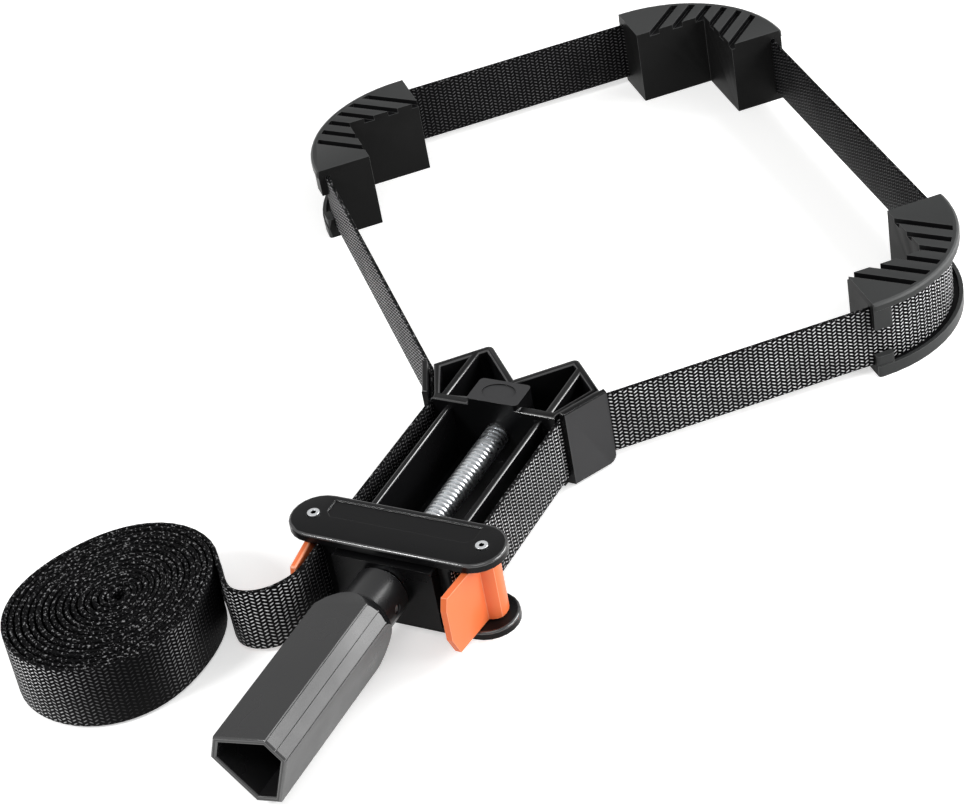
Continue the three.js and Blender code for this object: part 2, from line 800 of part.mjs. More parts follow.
const noseSolid = strapBand(noseRoute, strapLow)
addPiece('strap_nose_right', webbing, noseSolid)
addPiece('strap_nose_left', webbing, mirrorSolid(noseSolid))
const runStartRight = noseRoute[noseRoute.length - 1]
const runStartLeft = flat(runStartRight.x, -runStartRight.y)
addPiece('strap_run_left', webbing, straightRun(
  runStartLeft, cornerLeft.clone().addScaledVector(u, -jawArcRadius),
))
addPiece('strap_run_right', webbing, straightRun(
  runStartRight, cornerRight.clone().addScaledVector(v, -jawArcRadius),
))
addPiece('strap_run_far_left', webbing, straightRun(
  cornerLeft.clone().addScaledVector(v, jawArcRadius),
  cornerFar.clone().addScaledVector(v, -jawArcRadius),
))
addPiece('strap_run_far_right', webbing, straightRun(
  cornerRight.clone().addScaledVector(u, jawArcRadius),
  cornerFar.clone().addScaledVector(u, -jawArcRadius),
))

// strap beside the channel and through the carriage
const gripFrontX = carriageCentreX + endRadius + splitGap
const gripRearX = tailRoute[0][0]
for (const [name, side] of [['left', 1], ['right', -1]]) {
  addPiece(`strap_side_${name}`, webbing, straightRun(
    flat(gripFrontX, side * sideStrapY), flat(sideEndX, side * sideStrapY),
  ))
  addPiece(`strap_grip_${name}`, webbing, straightRun(
    flat(gripRearX, side * sideStrapY), flat(gripFrontX, side * sideStrapY),
  ))
}

// spare strap: one band that winds inwards, then the tail that leads to it
const rollRoute = []
const rollSteps = Math.round(rollLoops * rollStepsPerLoop)
for (let k = 0; k <= rollSteps; k += 1) {
  const turn = k / rollStepsPerLoop
  const angle = radians(rollStartAngle) + 2 * Math.PI * turn
  const lean = angle - radians(rollOvalAngle)
  const squeeze = 1 + rollOval * Math.cos(2 * lean) + rollEgg * Math.cos(3 * lean)
  const radius = (rollRadius - rollPitch * turn) * squeeze
  const drift = turn / rollLoops
  rollRoute.push(flat(
    rollX + rollDriftX * drift + radius * Math.cos(angle),
    rollY + rollDriftY * drift + radius * Math.sin(angle),
  ))
}
addPiece('strap_roll', webbing, strapBand(rollRoute, 0))

function leastGap(route, perLoop) {
  const inner = shifted(route, halfStrap)
  const outer = shifted(route, -halfStrap)
  let least = Infinity
  for (let i = 0; i < route.length; i += 1) {
    for (let j = i + perLoop - 2; j < Math.min(i + perLoop + 3, route.length - 1); j += 1) {
      const edge = outer[j + 1].clone().sub(outer[j])
      const share = THREE.MathUtils.clamp(inner[i].clone().sub(outer[j]).dot(edge) / edge.lengthSq(), 0, 1)
      least = Math.min(least, inner[i].distanceTo(outer[j].clone().addScaledVector(edge, share)))
    }
  }
  return least
}
console.log('least gap between the loops of the roll', leastGap(rollRoute, rollStepsPerLoop).toFixed(3))

const tailPoints = tailRoute.map(([x, y]) => flat(x, y))
const rollHeading = rollRoute[1].clone().sub(rollRoute[0]).normalize()
tailPoints.push(rollRoute[0].clone().addScaledVector(rollHeading, -splitGap))
let travelled = 0
const travels = tailPoints.map((point, i) => {
  travelled += i > 0 ? point.distanceTo(tailPoints[i - 1]) : 0
  return travelled
})
const tailLows = travels.map((way) => strapLow * (1 - THREE.MathUtils.smoothstep(way / travelled, 0, 1)))
addPiece('strap_tail', webbing, strapBand(tailPoints, tailLows))

export default group
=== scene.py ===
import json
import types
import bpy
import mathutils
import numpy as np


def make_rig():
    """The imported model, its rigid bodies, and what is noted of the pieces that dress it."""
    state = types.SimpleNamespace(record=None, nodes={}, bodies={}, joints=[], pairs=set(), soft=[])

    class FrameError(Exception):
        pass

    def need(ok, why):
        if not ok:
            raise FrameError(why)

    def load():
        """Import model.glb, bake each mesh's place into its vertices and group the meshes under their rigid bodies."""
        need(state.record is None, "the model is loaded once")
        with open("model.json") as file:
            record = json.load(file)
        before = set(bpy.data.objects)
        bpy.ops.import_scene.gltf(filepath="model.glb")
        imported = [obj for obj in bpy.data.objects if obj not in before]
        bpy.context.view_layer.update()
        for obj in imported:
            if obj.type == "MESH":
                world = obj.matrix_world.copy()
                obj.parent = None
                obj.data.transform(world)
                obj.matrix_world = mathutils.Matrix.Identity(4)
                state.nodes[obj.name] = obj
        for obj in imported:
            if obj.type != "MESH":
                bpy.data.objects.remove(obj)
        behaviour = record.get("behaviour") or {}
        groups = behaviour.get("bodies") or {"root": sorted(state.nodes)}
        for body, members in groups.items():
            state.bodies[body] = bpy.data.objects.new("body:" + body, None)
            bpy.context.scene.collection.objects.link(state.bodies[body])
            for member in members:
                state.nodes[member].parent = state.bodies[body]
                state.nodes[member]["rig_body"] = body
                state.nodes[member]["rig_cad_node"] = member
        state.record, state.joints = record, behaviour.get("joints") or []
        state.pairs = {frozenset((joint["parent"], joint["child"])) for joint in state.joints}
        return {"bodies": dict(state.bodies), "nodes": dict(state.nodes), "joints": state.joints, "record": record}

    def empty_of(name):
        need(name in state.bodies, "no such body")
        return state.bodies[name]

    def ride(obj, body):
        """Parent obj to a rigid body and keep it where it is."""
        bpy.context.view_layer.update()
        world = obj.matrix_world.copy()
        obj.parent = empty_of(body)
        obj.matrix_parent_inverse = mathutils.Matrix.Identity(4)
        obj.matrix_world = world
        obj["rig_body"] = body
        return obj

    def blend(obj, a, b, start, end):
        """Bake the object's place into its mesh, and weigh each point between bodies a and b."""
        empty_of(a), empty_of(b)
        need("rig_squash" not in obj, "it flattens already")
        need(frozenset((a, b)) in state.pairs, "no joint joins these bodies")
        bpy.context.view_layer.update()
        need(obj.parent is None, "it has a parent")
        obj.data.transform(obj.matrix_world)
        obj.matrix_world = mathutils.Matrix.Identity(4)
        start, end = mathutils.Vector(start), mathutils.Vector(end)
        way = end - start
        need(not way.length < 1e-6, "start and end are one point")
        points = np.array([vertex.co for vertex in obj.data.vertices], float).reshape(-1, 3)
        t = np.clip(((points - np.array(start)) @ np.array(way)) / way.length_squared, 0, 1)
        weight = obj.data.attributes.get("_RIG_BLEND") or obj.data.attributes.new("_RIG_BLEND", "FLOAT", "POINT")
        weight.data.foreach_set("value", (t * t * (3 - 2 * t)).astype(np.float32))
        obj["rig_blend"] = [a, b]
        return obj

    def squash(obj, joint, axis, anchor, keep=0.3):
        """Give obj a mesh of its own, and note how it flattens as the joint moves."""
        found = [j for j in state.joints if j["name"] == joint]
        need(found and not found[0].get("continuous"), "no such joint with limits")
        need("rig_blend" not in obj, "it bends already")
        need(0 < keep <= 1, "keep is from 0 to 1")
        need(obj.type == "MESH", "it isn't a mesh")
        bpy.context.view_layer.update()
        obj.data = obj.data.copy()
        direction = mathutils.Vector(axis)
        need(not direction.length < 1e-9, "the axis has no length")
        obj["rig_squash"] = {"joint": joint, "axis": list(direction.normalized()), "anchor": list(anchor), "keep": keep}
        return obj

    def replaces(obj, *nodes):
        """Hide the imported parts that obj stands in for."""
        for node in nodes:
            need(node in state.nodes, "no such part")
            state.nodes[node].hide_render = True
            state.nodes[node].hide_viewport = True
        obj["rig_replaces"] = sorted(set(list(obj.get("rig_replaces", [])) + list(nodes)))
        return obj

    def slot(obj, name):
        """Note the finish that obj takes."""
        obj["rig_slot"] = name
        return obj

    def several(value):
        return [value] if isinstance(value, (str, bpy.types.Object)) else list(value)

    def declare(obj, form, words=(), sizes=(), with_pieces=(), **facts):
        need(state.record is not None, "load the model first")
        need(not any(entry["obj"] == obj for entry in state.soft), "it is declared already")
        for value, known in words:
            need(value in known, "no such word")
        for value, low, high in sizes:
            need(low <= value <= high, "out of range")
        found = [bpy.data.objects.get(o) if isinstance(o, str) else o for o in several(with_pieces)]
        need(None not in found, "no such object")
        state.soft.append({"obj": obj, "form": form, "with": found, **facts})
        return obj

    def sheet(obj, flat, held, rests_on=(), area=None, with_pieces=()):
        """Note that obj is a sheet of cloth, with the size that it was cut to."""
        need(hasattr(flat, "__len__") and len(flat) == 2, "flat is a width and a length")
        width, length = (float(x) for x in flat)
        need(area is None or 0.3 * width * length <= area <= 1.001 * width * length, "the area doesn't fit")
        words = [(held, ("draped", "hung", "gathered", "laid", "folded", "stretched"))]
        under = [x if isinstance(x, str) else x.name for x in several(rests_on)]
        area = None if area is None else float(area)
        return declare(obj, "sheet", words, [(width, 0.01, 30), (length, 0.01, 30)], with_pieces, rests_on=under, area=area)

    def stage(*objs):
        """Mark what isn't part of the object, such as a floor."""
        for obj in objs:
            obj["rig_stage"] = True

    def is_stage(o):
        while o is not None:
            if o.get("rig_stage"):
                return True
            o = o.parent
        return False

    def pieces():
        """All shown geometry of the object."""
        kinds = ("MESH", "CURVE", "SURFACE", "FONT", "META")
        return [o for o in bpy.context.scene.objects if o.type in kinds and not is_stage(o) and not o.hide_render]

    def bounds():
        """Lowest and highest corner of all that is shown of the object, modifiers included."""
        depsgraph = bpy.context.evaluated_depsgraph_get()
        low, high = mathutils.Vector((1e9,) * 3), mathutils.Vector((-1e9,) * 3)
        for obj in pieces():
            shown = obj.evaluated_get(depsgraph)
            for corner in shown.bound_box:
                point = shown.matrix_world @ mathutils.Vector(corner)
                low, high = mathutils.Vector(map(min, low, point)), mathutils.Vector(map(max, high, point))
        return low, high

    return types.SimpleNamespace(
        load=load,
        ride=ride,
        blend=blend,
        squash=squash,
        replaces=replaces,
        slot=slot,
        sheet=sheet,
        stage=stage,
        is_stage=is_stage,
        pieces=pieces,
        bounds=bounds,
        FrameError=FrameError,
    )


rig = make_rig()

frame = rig.load()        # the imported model: bodies, nodes, joints and record
import bpy
import bmesh
import json
import math
from mathutils import Matrix, Vector

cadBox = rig.bounds()
print("frame loaded")


def mm(*values):
    return values[0] / 1000 if len(values) == 1 else tuple(value / 1000 for value in values)


def fromHex(text):
    parts = [int(text[i:i + 2], 16) / 255 for i in (1, 3, 5)]
    linear = [c / 12.92 if c <= 0.04045 else ((c + 0.055) / 1.055) ** 2.4 for c in parts]
    return (*linear, 1)


camera = {
    "place": (-669.11, -420.07, 589.23),
    "azimuth": 32.69, "elevation": 35.51, "roll": -10.84,
    "focal": 2745.41, "imageWidth": 969,
}


def addCamera():
    azimuth, elevation, roll = (math.radians(camera[k]) for k in ("azimuth", "elevation", "roll"))
    forward = Vector((math.cos(elevation) * math.cos(azimuth),
                      math.cos(elevation) * math.sin(azimuth), -math.sin(elevation)))
    level = forward.cross(Vector((0, 0, 1))).normalized()
    upright = level.cross(forward)
    right = level * math.cos(roll) + upright * math.sin(roll)
    up = upright * math.cos(roll) - level * math.sin(roll)
    lens = bpy.data.cameras.new("photoCamera")
    lens.sensor_width = 36
    lens.lens = camera["focal"] / camera["imageWidth"] * lens.sensor_width
    lens.clip_start = 0.01
    holder = bpy.data.objects.new("photoCamera", lens)
    bpy.context.scene.collection.objects.link(holder)
    turn = Matrix((right, up, -forward)).transposed().to_4x4()
    holder.matrix_world = Matrix.Translation(Vector(mm(*camera["place"]))) @ turn
    bpy.context.scene.camera = holder


addCamera()

studio = {
    "floorSize": 6, "floorColour": "#f2f2f1", "floorGlow": 0.5, "worldStrength": 0.3, "worldSeen": 0.8,
    "lamps": {
        "rightPanel": {"place": (470, -560, 355), "aim": (0, -20, 10), "size": 440, "power": 4.4},
        "frontPanel": {"place": (130, -930, 340), "aim": (60, -60, 10), "size": 500, "power": 4.6},
        "leftPanel": {"place": (-690, 450, 700), "aim": (-90, 20, 10), "size": 240, "power": 5.0},
        "topPanel": {"place": (-450, -250, 900), "aim": (40, 0, 0), "size": 600, "power": 1.6},
    },
}


def addNode(tree, kind, settings=None, inputs=None):
    node = tree.nodes.new(kind)
    for name, value in (settings or {}).items():
        setattr(node, name, value)
    for name, value in (inputs or {}).items():
        socket = node.inputs[name]
        if isinstance(value, bpy.types.NodeSocket):
            tree.links.new(value, socket)
        else:
            socket.default_value = value
    return node


def startMaterial(name, shaderInputs):
    material = bpy.data.materials.new(name)
    material.use_nodes = True
    tree = material.node_tree
    tree.nodes.clear()
    shader = addNode(tree, "ShaderNodeBsdfPrincipled", {}, shaderInputs)
    addNode(tree, "ShaderNodeOutputMaterial", {}, {"Surface": shader.outputs["BSDF"]})
    return material, tree, shader


def selectOnly(*objects):
    if bpy.context.mode != "OBJECT":
        bpy.ops.object.mode_set(mode="OBJECT")
    bpy.ops.object.select_all(action="DESELECT")
    for each in objects:
        each.select_set(True)
    bpy.context.view_layer.objects.active = objects[0]


# rays that show the backdrop itself: to the camera, and in metal and glass
def backdropRays(tree):
    path = addNode(tree, "ShaderNodeLightPath")
    seen = path.outputs["Is Camera Ray"]
    for ray in ("Is Glossy Ray", "Is Transmission Ray"):
        either = addNode(tree, "ShaderNodeMath", {"operation": "MAXIMUM"}, {0: seen, 1: path.outputs[ray]})
        seen = either.outputs[0]
    return seen


def buildStudio():
    bpy.ops.object.select_all(action="DESELECT")
    bpy.ops.mesh.primitive_plane_add(size=studio["floorSize"], location=(0, 0, 0))
    floor = bpy.context.object
    floor.name = "studioFloor"
    paper, tree, shader = startMaterial("matte paper sweep", {
        "Base Color": fromHex(studio["floorColour"]), "Roughness": 0.9, "Specular IOR Level": 0.2})
    glow = addNode(tree, "ShaderNodeMath", {"operation": "MULTIPLY"},
                   {0: backdropRays(tree), 1: studio["floorGlow"]})
    tree.links.new(glow.outputs[0], shader.inputs["Emission Strength"])
    floor.data.materials.append(paper)
    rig.stage(floor)
    world = bpy.data.worlds.new("softStudio")
    bpy.context.scene.world = world
    world.use_nodes = True
    tree = world.node_tree
    tree.nodes.clear()
    level = addNode(tree, "ShaderNodeMix", {"data_type": "FLOAT"},
                    {"Factor": backdropRays(tree), "A": studio["worldStrength"], "B": studio["worldSeen"]})
    sky = addNode(tree, "ShaderNodeBackground", {},
                  {"Color": (1, 1, 1, 1), "Strength": level.outputs["Result"]})
    addNode(tree, "ShaderNodeOutputWorld", {}, {"Surface": sky.outputs["Background"]})
    for name, lamp in studio["lamps"].items():
        light = bpy.data.lights.new(name, "AREA")
        light.shape = "DISK"
        light.size = mm(lamp["size"])
        light.energy = lamp["power"]
        holder = bpy.data.objects.new(name, light)
        bpy.context.scene.collection.objects.link(holder)
        place = Vector(mm(*lamp["place"]))
        aim = Vector(mm(*lamp["aim"])) - place
        holder.location = place
        holder.rotation_euler = aim.to_track_quat("-Z", "Y").to_euler()
    bpy.context.scene.view_settings.view_transform = "Standard"


buildStudio()
print("camera, floor and lights placed")

strap = {
    "width": 25, "thickness": 1.3, "low": 3.5, "edge": 0.45,
    "loopLong": 246.9, "loopShort": 199.3, "leftInset": 3.4, "cornerX": -25.5,
    "sideY": 25.1, "flankBendY": 33.9, "sideBendX": -8.3, "sideEndX": -13.4, "pastBend": 4,
    "innerRadius": 4, "outerRadius": 6, "jawArcRadius": 46.9,
    "carriageFrontX": -70.7, "carriageRearX": -93.6, "carriageTravel": 45, "bendSteps": 8, "arcSteps": 36,
    "columnPitch": 1.9, "rowPitch": 1.5, "rowSway": 0.3,
    # levels of painted light on the yarn's dots: the lit outer faces, the inner faces in painted shade, and the side
    # straps
    "outerPaintedLight": 1.0, "innerPaintedShade": 0.14, "sidePaintedLight": 0.85, "edgeSpecks": 0.3,
}
slant = math.sqrt(0.5)
uWay = Vector((slant, slant, 0))
vWay = Vector((slant, -slant, 0))


def roundedRoute(points, radii, steps):
    route = [Vector(points[0])]
    for i in range(1, len(points) - 1):
        arrive = (Vector(points[i]) - Vector(points[i - 1])).normalized()
        leave = (Vector(points[i + 1]) - Vector(points[i])).normalized()
        turn = math.atan2(arrive.cross(leave).z, arrive.dot(leave))
        start = Vector(points[i]) - arrive * radii[i] * abs(math.tan(turn / 2))
        side = Vector((-arrive.y, arrive.x, 0)) * math.copysign(radii[i], turn)
        centre = start + side
        for k in range(steps + 1):
            route.append(centre + Matrix.Rotation(turn * k / steps, 3, "Z") @ (start - centre))
    route.append(Vector(points[-1]))
    return route


def arcRoute(centre, radius, startAngle, endAngle, steps):
    return [centre + radius * Vector((math.cos(a), math.sin(a), 0)) for a in
            (math.radians(startAngle + (endAngle - startAngle) * k / steps) for k in range(steps + 1))]


def sideways(route):
    steps = []
    for i, point in enumerate(route):
        before = route[max(i - 1, 0)]
        after = route[min(i + 1, len(route) - 1)]
        arrive = (point - before if i else after - point).normalized()
        leave = (after - point if i + 1 < len(route) else arrive).normalized()
        side = Vector((-arrive.y - leave.y, arrive.x + leave.x, 0)).normalized()
        steps.append(side / max(side.dot(Vector((-arrive.y, arrive.x, 0))), 0.3))
    return steps


# one length of webbing on edge; its map runs in metres along and across the weave,
# its painted light level, which brightens the yarn's dots as painted highlight and dims them as painted shade, is given
# for its right and left faces, and its two selvedges are marked, as they show cut fibres in place of the weave
def layStrap(name, route, material, lows=None, thickness=None, startAt=0.0, facePaintedLight=(1, 1), paintedLightAt=None):
    half = (thickness or strap["thickness"]) / 2
    edge = strap["edge"]
    width = strap["width"]
    section = [(-half, edge), (-half, width / 2), (-half, width - edge), (-half * 0.55, width),
               (half * 0.55, width), (half, width - edge), (half, width / 2), (half, edge),
               (half * 0.55, 0), (-half * 0.55, 0)]
    across = [0]
    for (a, b), (c, d) in zip(section, section[1:] + section[:1]):
        across.append(across[-1] + math.hypot(c - a, d - b))
    steps = sideways(route)
    mesh = bmesh.new()
    layer = mesh.loops.layers.uv.new("weaveMap")
    paintedLight = mesh.loops.layers.float.new("paintedLight")
    selvedge = mesh.loops.layers.float.new("selvedge")
    onEdge = [0, 0, 1, 1, 1, 0, 0, 1, 1, 1]
    sidePaintedLight = [facePaintedLight[0]] * 2 + [max(facePaintedLight)] * 3 + [facePaintedLight[1]] * 2 + [max(facePaintedLight)] * 3
    rings = []
    along = []
    for i, point in enumerate(route):
        along.append(along[-1] + (point - route[i - 1]).length if i else startAt)
        low = lows[i] if lows else strap["low"]
        rings.append([mesh.verts.new(mm(*(point + steps[i] * n + Vector((0, 0, low + z)))))
                      for n, z in section])
    size = len(section)
    for i in range(len(rings) - 1):
        for j in range(size):
            k = (j + 1) % size
            face = mesh.faces.new((rings[i][j], rings[i + 1][j], rings[i + 1][k], rings[i][k]))
            spots = ((i, j), (i + 1, j), (i + 1, j + 1), (i, j + 1))
            for loop, (a, b) in zip(face.loops, spots):
                loop[layer].uv = mm(along[a], across[b])
                loop[paintedLight] = sidePaintedLight[j] * (paintedLightAt[a] if paintedLightAt else 1)
                loop[selvedge] = onEdge[j]
            face.smooth = True
    for ring, flip in ((rings[0], False), (rings[-1], True)):
        face = mesh.faces.new(ring[::-1] if flip else ring)
        for loop in face.loops:
            loop[layer].uv = mm(along[0], 0)
    bmesh.ops.recalc_face_normals(mesh, faces=mesh.faces)
    data = bpy.data.meshes.new(name)
    mesh.to_mesh(data)
    mesh.free()
    data.materials.append(material)
    piece = bpy.data.objects.new(name, data)
    bpy.context.scene.collection.objects.link(piece)
    selectOnly(piece)
    bpy.ops.object.shade_smooth_by_angle(angle=math.radians(40))
    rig.slot(piece, "webbing")
    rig.sheet(piece, flat=(mm(width), mm(along[-1] - startAt)), held="stretched", rests_on=[])
    return piece, along[-1]


# woven nylon: black yarn with pale dots on its raised loops; the dots' pale colour is a painted highlight that stands
# in for the loops' gloss, scaled by the painted light level of each face
def wovenNylon(name="woven black nylon webbing"):
    material, tree, shader = startMaterial(name, {
        "Roughness": 0.6, "Specular IOR Level": 0.05})
    place = addNode(tree, "ShaderNodeUVMap", {"uv_map": "weaveMap"})
    parts = addNode(tree, "ShaderNodeSeparateXYZ", {}, {0: place.outputs["UV"]})
    alongTurn = addNode(tree, "ShaderNodeMath", {"operation": "MULTIPLY"},
                        {0: parts.outputs["X"], 1: math.pi / mm(strap["columnPitch"])})
    alongWave = addNode(tree, "ShaderNodeMath", {"operation": "COSINE"}, {0: alongTurn.outputs[0]})
    sway = addNode(tree, "ShaderNodeMath", {"operation": "SINE"}, {0: alongTurn.outputs[0]})
    leaned = addNode(tree, "ShaderNodeMath", {"operation": "MULTIPLY_ADD"},
                     {0: sway.outputs[0], 1: mm(strap["rowSway"]), 2: parts.outputs["Y"]})
    acrossTurn = addNode(tree, "ShaderNodeMath", {"operation": "MULTIPLY"},
                         {0: leaned.outputs[0], 1: 2 * math.pi / mm(strap["rowPitch"])})
    acrossWave = addNode(tree, "ShaderNodeMath", {"operation": "COSINE"}, {0: acrossTurn.outputs[0]})
    knot = addNode(tree, "ShaderNodeMath", {"operation": "MULTIPLY"},
                   {0: alongWave.outputs[0], 1: acrossWave.outputs[0]})
    fuzz = addNode(tree, "ShaderNodeTexNoise", {}, {
        "Vector": place.outputs["UV"], "Scale": 900, "Detail": 3, "Roughness": 0.6})
    patch = addNode(tree, "ShaderNodeTexNoise", {}, {
        "Vector": place.outputs["UV"], "Scale": 60, "Detail": 2, "Roughness": 0.5})
    height = addNode(tree, "ShaderNodeMapRange", {"interpolation_type": "SMOOTHSTEP"},
                     {0: knot.outputs[0], 1: 0.2, 2: 0.8, 3: 0, 4: 1})
    rough = addNode(tree, "ShaderNodeMath", {"operation": "MULTIPLY_ADD"},
                    {0: fuzz.outputs[0], 1: 0.5, 2: height.outputs[0]})
    # the painted light level that each piece carries: high on lit faces, low on faces in painted shade
    lit = addNode(tree, "ShaderNodeAttribute", {"attribute_name": "paintedLight"})
    lint = addNode(tree, "ShaderNodeMapRange", {}, {0: patch.outputs[0], 1: 0.3, 2: 0.7, 3: 0.6, 4: 1.0})
    lightened = addNode(tree, "ShaderNodeMath", {"operation": "MULTIPLY"},
                     {0: lint.outputs[0], 1: lit.outputs["Fac"]})
    bright = addNode(tree, "ShaderNodeMath", {"operation": "MULTIPLY"},
                     {0: height.outputs[0], 1: lightened.outputs[0]})
    specks = addNode(tree, "ShaderNodeMapRange", {},
                     {0: fuzz.outputs[0], 1: 0.56, 2: 0.66, 3: 0, 4: strap["edgeSpecks"]})
    marked = addNode(tree, "ShaderNodeAttribute", {"attribute_name": "selvedge"})
    shown = addNode(tree, "ShaderNodeMix", {"data_type": "FLOAT"}, {
        "Factor": marked.outputs["Fac"], "A": bright.outputs[0], "B": specks.outputs[0]})
    # the ramp's pale end is the painted highlight of the dots
    ramp = addNode(tree, "ShaderNodeValToRGB", {}, {0: shown.outputs[0]})
    ramp.color_ramp.elements[0].position = 0.02
    ramp.color_ramp.elements[0].color = fromHex("#050506")
    ramp.color_ramp.elements[1].position = 0.9
    ramp.color_ramp.elements[1].color = fromHex("#f4f4f6")
    bump = addNode(tree, "ShaderNodeBump", {}, {
        "Height": rough.outputs[0], "Strength": 0.9, "Distance": mm(0.35)})
    tree.links.new(ramp.outputs[0], shader.inputs["Base Color"])
    tree.links.new(bump.outputs[0], shader.inputs["Normal"])
    return material


webbing = wovenNylon()
corner = {"nose": Vector((strap["cornerX"], 0, 0))}
corner["left"] = corner["nose"] + uWay * strap["loopLong"] + vWay * strap["leftInset"]
corner["right"] = corner["nose"] + vWay * strap["loopShort"]
corner["far"] = corner["nose"] + uWay * strap["loopLong"] + vWay * strap["loopShort"]
reach = strap["jawArcRadius"]
centre = {
    "left": corner["left"] + (vWay - uWay) * reach,
    "right": corner["right"] + (uWay - vWay) * reach,
    "far": corner["far"] - (uWay + vWay) * reach,
}


def noseRoute(side):
    flank = Vector((strap["cornerX"] + strap["flankBendY"], side * strap["flankBendY"], 0))
    way = uWay if side > 0 else vWay
    return roundedRoute([
        (strap["sideEndX"], side * strap["sideY"], 0), (strap["sideBendX"], side * strap["sideY"], 0),
        flank, flank + way * strap["pastBend"],
    ], [0, strap["innerRadius"], strap["outerRadius"], 0], strap["bendSteps"])


def subdivided(start, end, steps):
    return [start.lerp(end, k / steps) for k in range(1, steps)]


# painted light on the yarn's dots: the face that turns in is kept dark, as painted shade, and the outer one bright, as
# painted highlight
def loopPaintedLight(outerOnLeft, outerPaintedLight=strap["outerPaintedLight"]):
    pair = (strap["innerPaintedShade"], outerPaintedLight)
    return pair if outerOnLeft else pair[::-1]


def buildBand():
    steps = strap["arcSteps"]
    runSteps = 24
    leftNose = noseRoute(1)
    leftArc = arcRoute(centre["left"], reach, 135, 45, steps)
    farArc = arcRoute(centre["far"], reach, 45, -45, steps)
    rightNose = noseRoute(-1)
    rightArc = arcRoute(centre["right"], reach, -135, -45, steps)

    frontLeft, along = layStrap("bandFrontLeft", leftNose + subdivided(leftNose[-1], leftArc[0], runSteps)
                                + leftArc, webbing, facePaintedLight=loopPaintedLight(True))
    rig.replaces(frontLeft, "strap_nose_left", "strap_run_left", "strap_arc_left")
    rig.blend(frontLeft, "base", "jaw_left", start=mm(*leftNose[-1]), end=mm(*leftArc[0]))

    backLeft, along = layStrap("bandBackLeft", [leftArc[-1]] + subdivided(leftArc[-1], farArc[0], runSteps)
                               + farArc, webbing, startAt=along, facePaintedLight=loopPaintedLight(True))
    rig.replaces(backLeft, "strap_run_far_left", "strap_arc_far")
    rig.blend(backLeft, "jaw_left", "jaw_far", start=mm(*leftArc[-1]), end=mm(*farArc[0]))

    frontRight, along = layStrap("bandFrontRight", rightNose
                                 + subdivided(rightNose[-1], rightArc[0], runSteps) + rightArc, webbing,
                                 facePaintedLight=loopPaintedLight(False))
    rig.replaces(frontRight, "strap_nose_right", "strap_run_right", "strap_arc_right")
    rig.blend(frontRight, "base", "jaw_right", start=mm(*rightNose[-1]), end=mm(*rightArc[0]))

    # the last side is two lengths, one tucked inside the other, so that it can grow
    half = rightArc[-1].lerp(farArc[-1], 0.62)
    nearEnd = rightArc[-1].lerp(farArc[-1], 0.4)
    backRight, along = layStrap("bandBackRight", [rightArc[-1]] + subdivided(rightArc[-1], half, runSteps)
                                + [half], webbing, startAt=along, facePaintedLight=loopPaintedLight(False))
    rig.replaces(backRight, "strap_run_far_right")
    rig.ride(backRight, "jaw_right")
    tucked, _ = layStrap("bandBackRightTuck", [nearEnd] + subdivided(nearEnd, farArc[-1], runSteps)
                             + [farArc[-1]], webbing, thickness=strap["thickness"] - 0.1,
                             startAt=along - (half - nearEnd).length, facePaintedLight=loopPaintedLight(False))
    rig.ride(tucked, "jaw_far")
    print("loop of strap laid")


buildBand()


def buildSideStraps():
    for name, side in (("Left", 1), ("Right", -1)):
        y = side * strap["sideY"]
        front = Vector((strap["carriageFrontX"], y, 0))
        back = Vector((strap["sideEndX"], y, 0))
        piece, _ = layStrap(f"bandSide{name}", [front] + subdivided(front, back, 20) + [back], webbing,
                            facePaintedLight=loopPaintedLight(side > 0, strap["sidePaintedLight"]))
        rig.replaces(piece, f"strap_side_{name.lower()}")
        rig.ride(piece, "base")
        length = strap["sideEndX"] - strap["carriageFrontX"]
        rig.squash(piece, "carriage_slide", axis=(1, 0, 0), anchor=mm(strap["sideEndX"], y, 0),
                  keep=(length - strap["carriageTravel"]) / length)
    start = Vector((strap["carriageRearX"], -strap["sideY"], 0))
    end = Vector((strap["carriageFrontX"], -strap["sideY"], 0))
    piece, _ = layStrap("bandGripRight", [start] + subdivided(start, end, 8) + [end], webbing)
    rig.replaces(piece, "strap_grip_right")
    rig.ride(piece, "carriage")


buildSideStraps()

roll = {
    "centre": (-133.4, 84.2), "drift": (1.4, -2.3), "radius": 36.1,
    "oval": 0.0945, "egg": 0.0254, "ovalAngle": -13.3, "tailFallsFrom": 24.0,
    "pitch": 2.15, "loops": 15.7, "stepsPerLoop": 56, "startAngle": -40, "thickness": 1.65,
    "tail": [(-93.6, 25.1), (-99, 24.9), (-104.5, 25), (-108.5, 26.1), (-112.5, 28.3), (-116.3, 31.8),
             (-118.9, 36.5), (-119.5, 41.5), (-118.3, 46), (-115, 50), (-110, 54.3)],
    # painted light on the roll's dots: a low base level, painted shade, with painted pools of light at the given angles
    # and a painted light level along the tail
    "paintedLight": 0.05, "paintedLightPools": ((1.0, 162, 28), (0.4, 256, 15)),
    "tailPaintedLight": ((0, 0.12), (34, 0.15), (44, 1.1), (58, 1.1), (76, 0.25)),
}


